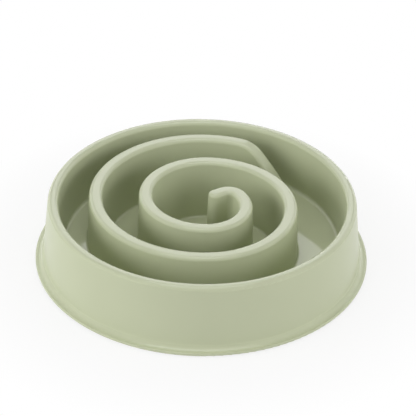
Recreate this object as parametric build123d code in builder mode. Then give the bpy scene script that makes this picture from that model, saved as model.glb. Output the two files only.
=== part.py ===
"""Slow feeder bowl: a round moulded bowl with a spiral ridge on its floor, standing on four rubber feet.

Millimetres, +Z up, the undersides of the feet at Z = 0, the front of the bowl towards -Y.
"""

import os
from math import asin, atan2, cos, degrees, dist, radians, sin, tan

from build123d import *

# Bowl
BASE_DIAMETER = 220.0
BOWL_HEIGHT = 45.2
SKIRT_LEAN = 4.4
RIM_HOLLOW = 2.1
RIM_ROUND = 2.8
WELL_LEAN = 2.2
FLOOR_HEIGHT = 8.9
FLOOR_ROUND = 2.5
FLOOR_THICKNESS = 1.6
WALL = 2.2

# Pan sunk into the floor inside the ridge's outer turn, with a ramp down to it behind the tail
PAN_HEIGHT = 1.7
RAMP_ANGLE = 40.0
RAMP_SLOPE = 36.0
RAMP_BRINK_ROUND = 10.0

# Flared lip around the base
LIP_HEIGHT = 2.0
LIP_ROUND = 0.7
FLARE_RADIUS = 4.2

# Ribs that tie the skirt to the well inside the hollow
RIB_COUNT = 8
FIRST_RIB_ANGLE = 22.5
RIB_THICKNESS = 1.4

# Spiral ridge, drawn from its back inwards, a quarter turn at a time
RIDGE_HOLLOW = 4.2
RIDGE_DROP = 1.1
RIDGE_DRAFT = 2.0
RIDGE_ROUND = 2.6
RIDGE_FOOT_ROUND = 1.6
RIDGE_CREST = 2.4
BACK_CHANNEL = 10.1
FRONT_CHANNEL = 24.0
SPIRAL_OFFSET = 0.5
TURN_RATIOS = (1.0, 1.0, 0.81, 0.772, 0.574, 0.56, 0.372)

# Tail at the ridge's outer end, sloping down to the floor
TAIL_END_ANGLE = 29.4
TAIL_LEAD = 13.4
TAIL_SLOPE = 43.0
TAIL_ROUND = 21.0

# Hook at the ridge's inner end, after the last quarter turn has run on
HOOK_LEAD = 34.0
HOOK_RADIUS = 8.0
HOOK_SWEEP = 88.0
HOOK_RUN = 9.7
HOOK_END_ROUND = 3.8

# Rubber feet, pushed into bosses under the skirt
FOOT_NAMES = ("back_right_foot", "back_left_foot", "front_left_foot", "front_right_foot")
FIRST_FOOT_ANGLE = 45.0
FOOT_DIAMETER = 9.0
FOOT_PROUD = 1.0
FOOT_RECESS = 2.0
FOOT_EDGE_ROUND = 0.5
STEM_DIAMETER = 4.0
STEM_LENGTH = 5.0
STEM_CHAMFER = 0.6
FOOT_CLEARANCE = 0.1
BOSS_WALL = 1.2
BOSS_CAP = 2.5

# Heights
base_z = FOOT_PROUD
lip_z = base_z + LIP_HEIGHT
floor_z = base_z + FLOOR_HEIGHT
pan_z = base_z + PAN_HEIGHT
rim_z = base_z + BOWL_HEIGHT
ridge_z = rim_z - RIDGE_DROP

# Radii of the bowl, and half the width of the ridge's crest
base_r = BASE_DIAMETER / 2
skirt_r = base_r - FLARE_RADIUS - LIP_ROUND
rim_r = skirt_r - SKIRT_LEAN
well_r = rim_r - 2 * WALL - RIM_HOLLOW
well_floor_r = well_r - WELL_LEAN
crest_half = RIDGE_HOLLOW / 2 + WALL

# Feet
foot_count = len(FOOT_NAMES)
foot_circle = (skirt_r + well_floor_r) / 2
socket_depth = FOOT_RECESS + STEM_LENGTH + FOOT_CLEARANCE
boss_r = FOOT_DIAMETER / 2 + FOOT_CLEARANCE + BOSS_WALL


def polar(centre, radius, angle):
    """Point on a circle at an angle in degrees."""
    return (centre[0] + radius * cos(radians(angle)), centre[1] + radius * sin(radians(angle)))


def quarter_turns():
    """Centre, radius and start angle of each quarter turn, each one starting where the last one ends."""
    outer_radius = well_floor_r - crest_half - (BACK_CHANNEL + FRONT_CHANNEL) / 2
    end = (SPIRAL_OFFSET, well_floor_r - BACK_CHANNEL - crest_half)
    turns = []
    for index, ratio in enumerate(TURN_RATIOS):
        radius = ratio * outer_radius
        start_angle = 90 * (index + 1)
        centre = polar(end, radius, start_angle + 180)
        turns.append((centre, radius, start_angle))
        end = polar(centre, radius, start_angle + 90)
    return turns


# The ridge's centre line, and the tail's slope, which falls along the ridge's tangent at the tail's angle
turns = quarter_turns()
outer_centre, outer_r, _ = turns[0]
last_centre, last_r, _ = turns[-1]
hook_centre = polar(last_centre, last_r - HOOK_RADIUS, HOOK_LEAD)
hook_heading = HOOK_LEAD + HOOK_SWEEP + 90
tail_end = (ridge_z - floor_z + RIDGE_ROUND) / tan(radians(TAIL_SLOPE)) - TAIL_LEAD
tail_angle = TAIL_END_ANGLE + degrees(asin(tail_end / outer_r))
tail_heading = tail_angle - 90
knee = polar(polar(outer_centre, outer_r, tail_angle), -TAIL_LEAD, tail_heading)

# The ramp's brink, which runs across the channel behind the tail, square to the turn inside it
brink_centre, brink_r, _ = turns[3]
brink_outside = polar(outer_centre, outer_r, RAMP_ANGLE)
brink_angle = degrees(atan2(brink_outside[1] - brink_centre[1], brink_outside[0] - brink_centre[0]))
brink_inside = polar(brink_centre, brink_r, brink_angle)
ramp_inside = polar(brink_centre, brink_r - WALL, brink_angle)


def round_corner(section, point, radius):
    """Round the corner of a section that lies at a point."""
    fillet(section.vertices().sort_by_distance(point)[0], radius)


def half_width(z):
    """Half the ridge's width at a height, between its sides, which lean by the draft."""
    return crest_half + (ridge_z - z) * tan(radians(RIDGE_DRAFT))


def ridge_plan(half, z):
    """Ridge at a height, half a width either side of its centre line, from the tail round to the hook."""
    sides = (half, -half)
    hook_run = HOOK_RUN + half - crest_half
    hook_tips = []
    tail_tips = []
    with BuildSketch(Plane.XY.offset(z)) as plan:
        with BuildLine():
            for side in sides:
                end_angle = tail_angle - degrees(asin(tail_end / (outer_r + side)))
                tail = CenterArc(outer_centre, outer_r + side, end_angle, 90 - end_angle)
                for centre, radius, start_angle in turns:
                    CenterArc(centre, radius + side, start_angle, 90)
                CenterArc(last_centre, last_r + side, 0, HOOK_LEAD)
                hook = CenterArc(hook_centre, HOOK_RADIUS + side, HOOK_LEAD, HOOK_SWEEP)
                run = PolarLine(hook @ 1, hook_run, hook_heading)
                tail_tips.append(tail @ 0)
                hook_tips.append(run @ 1)
            Line(tail_tips)
            Line(hook_tips)
        make_face()
        for tip in hook_tips:
            round_corner(plan, tip, HOOK_END_ROUND + half - crest_half)
    return plan.sketch


def raise_ridge(inset, top_inset):
    """Ridge from the base up, drawn in from its sides and its top, less the tail's rounded slope."""
    top_z = ridge_z - top_inset
    knee_shift = -top_inset * tan(radians(TAIL_SLOPE / 2))
    knee_point = (*polar(knee, knee_shift, tail_heading), top_z)
    along = polar((0, 0), 1, tail_heading)
    across = polar((0, 0), 1, tail_heading - 90)
    reach = tail_end + 2 * TAIL_LEAD
    lane = outer_r - turns[4][1] - 2 * crest_half
    with BuildPart() as blank:
        loft([ridge_plan(half_width(z) - inset, z) for z in (base_z, top_z)], ruled=True)
        with BuildSketch(Plane(knee_point, x_dir=(*along, 0), z_dir=(*across, 0))) as slope:
            with BuildLine():
                Polyline(
                    (0, 0),
                    (reach, -reach * tan(radians(TAIL_SLOPE))),
                    (reach, TAIL_LEAD),
                    (-TAIL_LEAD, TAIL_LEAD),
                    (-TAIL_LEAD, 0),
                    close=True,
                )
            make_face()
            round_corner(slope, (0, 0), TAIL_ROUND - top_inset)
        extrude(amount=crest_half + lane / 2, both=True, mode=Mode.SUBTRACT)
    return blank.part


def sink_pan(drop):
    """Space above the pan's floor and ramp, or above a drop below them, edged by the ridge's centre line."""
    slope = radians(RAMP_SLOPE)
    depth = floor_z - pan_z
    bend = (RAMP_BRINK_ROUND * sin(slope), depth - RAMP_BRINK_ROUND * (1 - cos(slope)))
    foot = (depth / tan(slope / 2), 0)
    across = polar((0, 0), 1, brink_angle)
    along = polar((0, 0), 1, brink_angle + 90)
    with BuildPart() as space:
        with BuildSketch(Plane.XY.offset(pan_z - drop)):
            with BuildLine():
                CenterArc(outer_centre, outer_r, RAMP_ANGLE, 180 - RAMP_ANGLE)
                for centre, radius, start_angle in turns[1:3]:
                    CenterArc(centre, radius, start_angle, 90)
                CenterArc(brink_centre, brink_r, 0, brink_angle)
                Line(brink_inside, brink_outside)
            make_face()
        extrude(amount=ridge_z - pan_z)
        with BuildSketch(Plane((*ramp_inside, pan_z - drop), x_dir=(*along, 0), z_dir=(*across, 0))):
            with BuildLine():
                Polyline((0, depth), (0, 0), foot)
                TangentArc((0, depth), bend, tangent=(1, 0))
                TangentArc(foot, bend, tangent=(-1, 0))
            make_face()
        extrude(amount=dist(ramp_inside, brink_outside) + crest_half, mode=Mode.SUBTRACT)
    return space.part


# Ridge: its crest rounded from the hook to the tail's end, which lies under the floor
with BuildPart() as ridge:
    add(raise_ridge(0, 0))
    crest = ridge.faces().filter_by(Axis.Z).sort_by(Axis.Z)[-1]
    fillet(crest.edges().sort_by_distance((*knee, ridge_z))[1:], RIDGE_ROUND)

# Hollow under the bowl: skirt, floor and ridge are open from below, with bosses and ribs left standing
with BuildPart() as hollow:
    open_z = base_z - FOOT_PROUD
    with BuildSketch(Plane.XZ):
        with BuildLine():
            Polyline(
                (0, floor_z - FLOOR_THICKNESS),
                (0, open_z),
                (skirt_r - WALL, open_z),
                (skirt_r - WALL, lip_z),
                (rim_r - WALL, rim_z - WALL),
                (well_r + WALL, rim_z - WALL),
                (well_floor_r + WALL, floor_z - FLOOR_THICKNESS),
                close=True,
            )
        make_face()
    revolve(axis=Axis.Z)
    add(sink_pan(FLOOR_THICKNESS), mode=Mode.SUBTRACT)
    add(raise_ridge(WALL, RIDGE_CREST))
    with Locations((0, 0, open_z)):
        with PolarLocations(foot_circle, foot_count, FIRST_FOOT_ANGLE):
            Cylinder(
                boss_r,
                base_z - open_z + socket_depth + BOSS_CAP,
                align=(Align.CENTER, Align.CENTER, Align.MIN),
                mode=Mode.SUBTRACT,
            )
    with Locations((0, 0, floor_z)):
        with PolarLocations(foot_circle, RIB_COUNT, FIRST_RIB_ANGLE):
            Box(
                skirt_r - well_floor_r,
                RIB_THICKNESS,
                rim_z - floor_z,
                align=(Align.CENTER, Align.CENTER, Align.MIN),
                mode=Mode.SUBTRACT,
            )

# Bowl: a turned outline with the ridge raised on its floor, hollowed from below and bored for the feet
with BuildPart() as bowl_body:
    with BuildSketch(Plane.XZ) as section:
        with BuildLine():
            Polyline(
                (0, floor_z),
                (0, base_z),
                (base_r, base_z),
                (base_r, lip_z),
                (skirt_r, lip_z),
                (rim_r, rim_z),
                (well_r, rim_z),
                (well_floor_r, floor_z),
                close=True,
            )
        make_face()
        round_corner(section, (base_r, base_z), LIP_ROUND)
        round_corner(section, (base_r, lip_z), LIP_ROUND)
        round_corner(section, (skirt_r, lip_z), FLARE_RADIUS)
        round_corner(section, (rim_r, rim_z), RIM_ROUND)
        round_corner(section, (well_r, rim_z), RIM_ROUND)
        round_corner(section, (well_floor_r, floor_z), FLOOR_ROUND)
    revolve(axis=Axis.Z)
    add(sink_pan(0), mode=Mode.SUBTRACT)
    add(ridge.part)
    fillet(bowl_body.edges(Select.NEW), RIDGE_FOOT_ROUND)
    add(hollow.part, mode=Mode.SUBTRACT)
    with Locations(Plane((0, 0, base_z), z_dir=(0, 0, -1))):
        with PolarLocations(foot_circle, foot_count, FIRST_FOOT_ANGLE):
            CounterBoreHole(
                STEM_DIAMETER / 2 + FOOT_CLEARANCE,
                FOOT_DIAMETER / 2 + FOOT_CLEARANCE,
                FOOT_RECESS,
                socket_depth,
            )

os.makedirs("parts", exist_ok=True)
bowl_body.part.label = "bowl_body"
export_step(bowl_body.part, "parts/bowl_body.step")

# Feet: a round pad with a stem, its edge softened where it stands
for index, foot_name in enumerate(FOOT_NAMES):
    foot_angle = FIRST_FOOT_ANGLE + 360 * index / foot_count
    with BuildPart(Plane((*polar((0, 0), foot_circle, foot_angle), 0))) as foot:
        Cylinder(
            FOOT_DIAMETER / 2,
            FOOT_PROUD + FOOT_RECESS,
            align=(Align.CENTER, Align.CENTER, Align.MIN),
        )
        fillet(foot.faces().sort_by(Axis.Z)[0].edges(), FOOT_EDGE_ROUND)
        with Locations((0, 0, FOOT_PROUD + FOOT_RECESS)):
            Cylinder(
                STEM_DIAMETER / 2,
                STEM_LENGTH,
                align=(Align.CENTER, Align.CENTER, Align.MIN),
            )
        chamfer(foot.faces().sort_by(Axis.Z)[-1].edges(), STEM_CHAMFER)
    foot.part.label = foot_name
    export_step(foot.part, f"parts/{foot_name}.step")
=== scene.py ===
"""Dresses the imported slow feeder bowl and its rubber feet, and sets them on a white sweep in soft light."""

import bpy
import numpy as np
from mathutils import Matrix, Vector


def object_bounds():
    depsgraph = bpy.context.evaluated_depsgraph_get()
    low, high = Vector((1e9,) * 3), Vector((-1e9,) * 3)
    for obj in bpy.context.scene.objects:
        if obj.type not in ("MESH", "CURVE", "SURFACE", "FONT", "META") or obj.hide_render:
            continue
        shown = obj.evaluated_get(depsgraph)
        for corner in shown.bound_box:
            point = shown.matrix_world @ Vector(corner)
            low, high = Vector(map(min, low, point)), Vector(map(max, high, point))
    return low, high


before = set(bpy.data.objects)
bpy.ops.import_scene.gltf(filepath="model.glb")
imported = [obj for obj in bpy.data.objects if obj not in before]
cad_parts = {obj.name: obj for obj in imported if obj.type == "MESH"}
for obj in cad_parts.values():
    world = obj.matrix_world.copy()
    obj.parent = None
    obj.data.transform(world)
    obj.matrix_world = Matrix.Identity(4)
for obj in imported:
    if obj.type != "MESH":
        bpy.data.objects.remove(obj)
CAD_BOX = [list(corner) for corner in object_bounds()]

bl_info = {
    "name": "Slow Feeder Bowl",
    "version": (1, 0, 0),
    "blender": (4, 5, 0),
    "location": "3D View > Sidebar > Bowl",
    "description": "Dresses a moulded slow feeder bowl and its rubber feet and sets them on a white sweep",
    "category": "Object",
}

BOWL_NODE = "bowl_body"
FEET_NODES = [name for name in sorted(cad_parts) if name.endswith("_foot")]
BOWL_RADIUS = CAD_BOX[1][0]

# Plastic: colour clouds, smears that vary the roughness, and mould grain
PLASTIC_IOR = 1.48
CLOUDS_PER_METRE = 22.0
SMEARS_PER_METRE = 55.0
SMEAR_SPREAD = 0.2
GRAIN_STRENGTH = 0.05
GRAIN_DEPTH = 0.0002

# Upright share of a face's normal, up to which it is a wall and from which it is level
WALL_LIMIT = 0.35
LEVEL_LIMIT = 0.85

# Rubber: dust that darkens the colour and stands up in pebbles
RUBBER_IOR = 1.5
DUST_PER_METRE = 400.0
DUST_SHADE = 0.8
PEBBLE_STRENGTH = 0.15
PEBBLE_DEPTH = 0.0002

# Sweep
WHITE = (1.0, 1.0, 1.0, 1.0)
PAPER_WHITE = (0.9, 0.9, 0.9, 1.0)
FLOOR_REACH = 4.0

# Lamps: the point that they all face, and their widths and heights
LAMP_TARGET = Vector((0.0, 0.0, 0.03))
SOFT_LAMP = (0.8, 0.8)
WIDE_LAMP = (1.0, 1.0)
STRIP_LAMP = (3.6, 0.2)

# Each lamp's name, place, width and height, power in watts, and whether reflections show it
LAMPS = (
    ("left_lamp", (-1.4, -0.3, 0.45), SOFT_LAMP, 9.4, False),
    ("right_lamp", (1.4, -0.3, 0.45), SOFT_LAMP, 7.3, False),
    ("front_left_lamp", (-1.0, -1.0, 0.65), SOFT_LAMP, 5.9, False),
    ("front_right_lamp", (1.0, -1.0, 0.65), SOFT_LAMP, 4.7, False),
    ("front_lamp", (0.0, -1.4, 0.45), SOFT_LAMP, 0.4, False),
    ("top_lamp", (0.0, -0.1, 1.5), WIDE_LAMP, 7.6, True),
    ("back_lamp", (0.0, 1.3, 0.9), SOFT_LAMP, 3.5, True),
    ("back_left_lamp", (-1.0, 1.0, 0.8), SOFT_LAMP, 1.9, True),
    ("back_right_lamp", (1.0, 1.0, 0.8), SOFT_LAMP, 1.8, True),
    ("edge_lamp", (0.0, 1.6, 0.13), STRIP_LAMP, 5.0, True),
)

# Camera: width of the picture in pixels, width of the sensor in millimetres, and how far it sees
IMAGE_SIZE = 416
SENSOR_WIDTH = 36.0
FAR_LIMIT = 20.0


class BowlFinishSettings(bpy.types.PropertyGroup):
    """Colours and surface of the moulded plastic."""

    plastic_colour: bpy.props.FloatVectorProperty(
        name="Plastic",
        description="Colour of the satin plastic",
        subtype="COLOR",
        size=3,
        min=0.0,
        max=1.0,
        default=(0.556, 0.595, 0.408),
    )
    shade_colour: bpy.props.FloatVectorProperty(
        name="Plastic Shade",
        description="Colour of the faintly darker clouds in the plastic",
        subtype="COLOR",
        size=3,
        min=0.0,
        max=1.0,
        default=(0.536, 0.574, 0.390),
    )
    wall_roughness: bpy.props.FloatProperty(
        name="Wall Roughness",
        description="Roughness of the upright faces, satin from the mould",
        subtype="FACTOR",
        min=0.0,
        max=1.0,
        default=0.32,
    )
    level_roughness: bpy.props.FloatProperty(
        name="Level Roughness",
        description="Roughness of the level faces, which are polished",
        subtype="FACTOR",
        min=0.0,
        max=1.0,
        default=0.08,
    )
    grain_size: bpy.props.FloatProperty(
        name="Grain Size",
        description="Size of the fine mould grain",
        subtype="DISTANCE",
        unit="LENGTH",
        min=0.0001,
        default=0.0008,
    )


class FootFinishSettings(bpy.types.PropertyGroup):
    """Colour and surface of the rubber feet."""

    rubber_colour: bpy.props.FloatVectorProperty(
        name="Rubber",
        description="Colour of the matt rubber",
        subtype="COLOR",
        size=3,
        min=0.0,
        max=1.0,
        default=(0.30, 0.31, 0.27),
    )
    roughness: bpy.props.FloatProperty(
        name="Roughness",
        description="Roughness of the rubber",
        subtype="FACTOR",
        min=0.0,
        max=1.0,
        default=0.75,
    )


class StageSettings(bpy.types.PropertyGroup):
    """Camera and white sweep."""

    camera_distance: bpy.props.FloatProperty(
        name="Camera Distance",
        description="Level distance from the bowl's axis to the camera",
        subtype="DISTANCE",
        unit="LENGTH",
        default=0.99875,
    )
    camera_height: bpy.props.FloatProperty(
        name="Camera Height",
        description="Height of the camera above the floor",
        subtype="DISTANCE",
        unit="LENGTH",
        default=0.7065,
    )
    camera_pitch: bpy.props.FloatProperty(
        name="Camera Pitch",
        description="Angle that the camera looks down",
        subtype="ANGLE",
        unit="ROTATION",
        default=0.590,
    )
    camera_yaw: bpy.props.FloatProperty(
        name="Camera Yaw",
        description="Angle that the camera turns to the right",
        subtype="ANGLE",
        unit="ROTATION",
        default=0.0038,
    )
    camera_roll: bpy.props.FloatProperty(
        name="Camera Roll",
        description="Angle that the camera is tipped about its own line of sight",
        subtype="ANGLE",
        unit="ROTATION",
        default=-0.0221,
    )
    focal_pixels: bpy.props.FloatProperty(
        name="Focal Length",
        description="Focal length in pixels of the picture",
        subtype="PIXEL",
        default=1834.33,
    )
    floor_glow: bpy.props.FloatProperty(
        name="Floor Glow",
        description="Share of plain white in the floor under the bowl, where its shadow shows most",
        subtype="FACTOR",
        min=0.0,
        max=1.0,
        default=0.80,
    )
    shadow_reach: bpy.props.FloatProperty(
        name="Shadow Reach",
        description="Distance from the bowl's axis at which the floor is plain white",
        subtype="DISTANCE",
        unit="LENGTH",
        min=BOWL_RADIUS,
        default=0.18,
    )


def new_material(name):
    """New material with an empty node tree, and that tree."""
    material = bpy.data.materials.new(name)
    material.use_nodes = True
    material.node_tree.nodes.clear()
    return material, material.node_tree


def add_node(tree, kind, **inputs):
    """Node of a kind, with values set on the sockets that are named with underscores for spaces."""
    node = tree.nodes.new(kind)
    for name, value in inputs.items():
        node.inputs[name.replace("_", " ")].default_value = value
    return node


def add_math(tree, operation, *values):
    """Result of a math operation on the outputs of other nodes."""
    node = tree.nodes.new("ShaderNodeMath")
    node.operation = operation
    for socket, value in zip(node.inputs, values):
        tree.links.new(value, socket)
    return node.outputs["Value"]


def add_range(tree, value, **limits):
    """Value carried from one range, 0 to 1 unless it is given, to another."""
    node = add_node(tree, "ShaderNodeMapRange", **limits)
    tree.links.new(value, node.inputs["Value"])
    return node.outputs["Result"]


def add_noise(tree, place, per_metre, detail, roughness):
    """Noise on Object coordinates, with so many lumps to the metre."""
    node = add_node(tree, "ShaderNodeTexNoise", Scale=per_metre, Detail=detail, Roughness=roughness)
    tree.links.new(place.outputs["Object"], node.inputs["Vector"])
    return node.outputs["Fac"]


def add_bump(tree, height, strength, depth):
    """Normal that follows a height, which stands as deep as the depth in metres."""
    node = add_node(tree, "ShaderNodeBump", Strength=strength, Distance=depth)
    tree.links.new(height, node.inputs["Height"])
    return node.outputs["Normal"]


def mix_colours(tree, factor, first, second):
    """Colour that goes from the first to the second with a factor."""
    node = tree.nodes.new("ShaderNodeMix")
    node.data_type = "RGBA"
    node.inputs["A"].default_value = (*first, 1.0)
    node.inputs["B"].default_value = (*second, 1.0)
    tree.links.new(factor, node.inputs["Factor"])
    return node.outputs["Result"]


def set_surface(tree, shader):
    """Make a shader the surface of its material."""
    output = tree.nodes.new("ShaderNodeOutputMaterial")
    tree.links.new(shader, output.inputs["Surface"])


def satin_plastic(finish):
    """Sage plastic with faint clouds of colour, satin walls, polished level faces and a fine mould grain.

    The roughness goes from the walls' to the level faces' with the upright share of the normal.
    Smears make it uneven.
    """
    material, tree = new_material("sage_satin_plastic")
    link = tree.links.new
    place = tree.nodes.new("ShaderNodeTexCoord")
    clouds = add_noise(tree, place, CLOUDS_PER_METRE, detail=3.0, roughness=0.5)
    colour = mix_colours(tree, clouds, finish.plastic_colour, finish.shade_colour)

    facing = tree.nodes.new("ShaderNodeSeparateXYZ")
    link(place.outputs["Normal"], facing.inputs["Vector"])
    polish = add_range(
        tree,
        add_math(tree, "ABSOLUTE", facing.outputs["Z"]),
        From_Min=WALL_LIMIT,
        From_Max=LEVEL_LIMIT,
        To_Min=finish.wall_roughness,
        To_Max=finish.level_roughness,
    )
    smears = add_noise(tree, place, SMEARS_PER_METRE, detail=4.0, roughness=0.6)
    uneven = add_range(tree, smears, To_Min=1.0 - SMEAR_SPREAD, To_Max=1.0 + SMEAR_SPREAD)
    roughness = add_math(tree, "MULTIPLY", polish, uneven)

    grain = add_noise(tree, place, 1.0 / finish.grain_size, detail=2.0, roughness=0.5)
    bump = add_bump(tree, grain, GRAIN_STRENGTH, GRAIN_DEPTH)

    shader = add_node(tree, "ShaderNodeBsdfPrincipled", IOR=PLASTIC_IOR)
    link(colour, shader.inputs["Base Color"])
    link(roughness, shader.inputs["Roughness"])
    link(bump, shader.inputs["Normal"])
    set_surface(tree, shader.outputs["BSDF"])
    return material


def matt_rubber(finish):
    """Dull rubber with fine dust and a pebbled bump."""
    material, tree = new_material("matt_foot_rubber")
    link = tree.links.new
    place = tree.nodes.new("ShaderNodeTexCoord")
    dust = add_noise(tree, place, DUST_PER_METRE, detail=3.0, roughness=0.6)
    shade = [DUST_SHADE * channel for channel in finish.rubber_colour]
    colour = mix_colours(tree, dust, finish.rubber_colour, shade)
    bump = add_bump(tree, dust, PEBBLE_STRENGTH, PEBBLE_DEPTH)

    shader = add_node(tree, "ShaderNodeBsdfPrincipled", Roughness=finish.roughness, IOR=RUBBER_IOR)
    link(colour, shader.inputs["Base Color"])
    link(bump, shader.inputs["Normal"])
    set_surface(tree, shader.outputs["BSDF"])
    return material


def seen_rays(tree):
    """Factor that is 1 for what is seen straight, in a reflection or through glass, and 0 for light."""
    rays = tree.nodes.new("ShaderNodeLightPath")
    seen = rays.outputs["Is Camera Ray"]
    for name in ("Is Glossy Ray", "Is Transmission Ray"):
        seen = add_math(tree, "MAXIMUM", seen, rays.outputs[name])
    return seen


def white_sweep(stage):
    """White floor that takes the bowl's shadow, with a share of plain white that grows away from the bowl."""
    material, tree = new_material("white_sweep")
    link = tree.links.new
    place = tree.nodes.new("ShaderNodeTexCoord")
    away = tree.nodes.new("ShaderNodeVectorMath")
    away.operation = "LENGTH"
    link(place.outputs["Object"], away.inputs[0])
    share = add_range(
        tree,
        away.outputs["Value"],
        From_Min=BOWL_RADIUS,
        From_Max=stage.shadow_reach,
        To_Min=stage.floor_glow,
    )
    paper = add_node(tree, "ShaderNodeBsdfDiffuse", Color=PAPER_WHITE)
    glow = add_node(tree, "ShaderNodeEmission", Color=WHITE, Strength=1.0)
    mix = tree.nodes.new("ShaderNodeMixShader")
    link(add_math(tree, "MULTIPLY", seen_rays(tree), share), mix.inputs["Fac"])
    link(paper.outputs["BSDF"], mix.inputs[1])
    link(glow.outputs["Emission"], mix.inputs[2])
    set_surface(tree, mix.outputs["Shader"])
    return material


def white_surround(world):
    """White all round for what is seen, and no light for anything else."""
    world.use_nodes = True
    tree = world.node_tree
    background = tree.nodes["Background"]
    background.inputs["Color"].default_value = WHITE
    tree.links.new(seen_rays(tree), background.inputs["Strength"])


def dress(node, material):
    """Give a CAD node one material."""
    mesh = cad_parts[node].data
    mesh.materials.clear()
    mesh.materials.append(material)


def lay_floor(scene, stage):
    """Flat white floor that reaches past every view."""
    sides = ((-1, -1), (1, -1), (1, 1), (-1, 1))
    corners = [(FLOOR_REACH * x, FLOOR_REACH * y, 0.0) for x, y in sides]
    mesh = bpy.data.meshes.new("floor")
    mesh.from_pydata(corners, [], [(0, 1, 2, 3)])
    mesh.materials.append(white_sweep(stage))
    floor = bpy.data.objects.new("floor", mesh)
    scene.collection.objects.link(floor)


def add_lamp(scene, name, place, size, power, glints):
    """Soft area lamp at a place, facing the bowl. One without glints isn't seen in reflections."""
    lamp = bpy.data.lights.new(name, "AREA")
    lamp.shape = "RECTANGLE"
    lamp.size, lamp.size_y = size
    lamp.energy = power
    obj = bpy.data.objects.new(name, lamp)
    scene.collection.objects.link(obj)
    obj.location = place
    obj.visible_glossy = glints
    obj.rotation_euler = (LAMP_TARGET - Vector(place)).to_track_quat("-Z", "Y").to_euler()


def camera_matrix(stage):
    """Camera axes from yaw, pitch and roll: the line of sight, then right and down tipped about it."""
    yaw, pitch, roll = stage.camera_yaw, stage.camera_pitch, stage.camera_roll
    ahead = np.array([np.sin(yaw) * np.cos(pitch), np.cos(yaw) * np.cos(pitch), -np.sin(pitch)])
    level = np.array([np.cos(yaw), -np.sin(yaw), 0.0])
    below = np.cross(ahead, level)
    right = np.cos(roll) * level + np.sin(roll) * below
    down = -np.sin(roll) * level + np.cos(roll) * below
    matrix = np.eye(4)
    matrix[:3, :3] = np.column_stack((right, -down, -ahead))
    matrix[:3, 3] = (0.0, -stage.camera_distance, stage.camera_height)
    return Matrix(matrix.tolist())


def add_camera(scene, stage):
    """Camera in front of the bowl, with its focal length given in pixels of the picture."""
    camera = bpy.data.cameras.new("camera")
    camera.sensor_fit = "HORIZONTAL"
    camera.sensor_width = SENSOR_WIDTH
    camera.lens = stage.focal_pixels / IMAGE_SIZE * SENSOR_WIDTH
    camera.clip_end = FAR_LIMIT
    obj = bpy.data.objects.new("camera", camera)
    scene.collection.objects.link(obj)
    obj.matrix_world = camera_matrix(stage)
    scene.camera = obj


class FEEDER_OT_dress_bowl(bpy.types.Operator):
    """Finish the moulded bowl in satin plastic"""

    bl_idname = "feeder.dress_bowl"
    bl_label = "Dress Bowl"

    def execute(self, context):
        dress(BOWL_NODE, satin_plastic(context.scene.bowl_finish))
        return {"FINISHED"}


class FEEDER_OT_dress_feet(bpy.types.Operator):
    """Finish the feet in matt rubber"""

    bl_idname = "feeder.dress_feet"
    bl_label = "Dress Feet"

    def execute(self, context):
        rubber = matt_rubber(context.scene.foot_finish)
        for node in FEET_NODES:
            dress(node, rubber)
        return {"FINISHED"}


class FEEDER_OT_set_stage(bpy.types.Operator):
    """Lay the white sweep and set the world, the lamps and the camera"""

    bl_idname = "feeder.set_stage"
    bl_label = "Set Stage"

    def execute(self, context):
        scene = context.scene
        stage = scene.bowl_stage
        lay_floor(scene, stage)
        scene.world = bpy.data.worlds.new("studio")
        white_surround(scene.world)
        for lamp in LAMPS:
            add_lamp(scene, *lamp)
        add_camera(scene, stage)
        scene.view_settings.view_transform = "Standard"
        return {"FINISHED"}


class FEEDER_PT_panel(bpy.types.Panel):
    """Lists the steps of dressing the bowl, and its finishes"""

    bl_idname = "FEEDER_PT_panel"
    bl_label = "Slow Feeder Bowl"
    bl_space_type = "VIEW_3D"
    bl_region_type = "UI"
    bl_category = "Bowl"

    def draw(self, context):
        for operator in OPERATORS:
            self.layout.operator(operator.bl_idname)
        for group in SETTINGS:
            settings = getattr(context.scene, group)
            for name in settings.bl_rna.properties.keys():
                if name not in {"rna_type", "name"}:
                    self.layout.prop(settings, name)


OPERATORS = (FEEDER_OT_dress_bowl, FEEDER_OT_dress_feet, FEEDER_OT_set_stage)
SETTINGS = {
    "bowl_finish": BowlFinishSettings,
    "foot_finish": FootFinishSettings,
    "bowl_stage": StageSettings,
}
CLASSES = (*SETTINGS.values(), *OPERATORS, FEEDER_PT_panel)


def register():
    """Add the classes to Blender, and the settings to the scene."""
    for cls in CLASSES:
        bpy.utils.register_class(cls)
    for name, group in SETTINGS.items():
        setattr(bpy.types.Scene, name, bpy.props.PointerProperty(type=group))


def unregister():
    """Take the settings and the classes away again."""
    for name in SETTINGS:
        delattr(bpy.types.Scene, name)
    for cls in reversed(CLASSES):
        bpy.utils.unregister_class(cls)


def main():
    """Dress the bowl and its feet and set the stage."""
    register()
    bpy.ops.feeder.dress_bowl()
    bpy.ops.feeder.dress_feet()
    bpy.ops.feeder.set_stage()


if __name__ == "__main__":
    main()
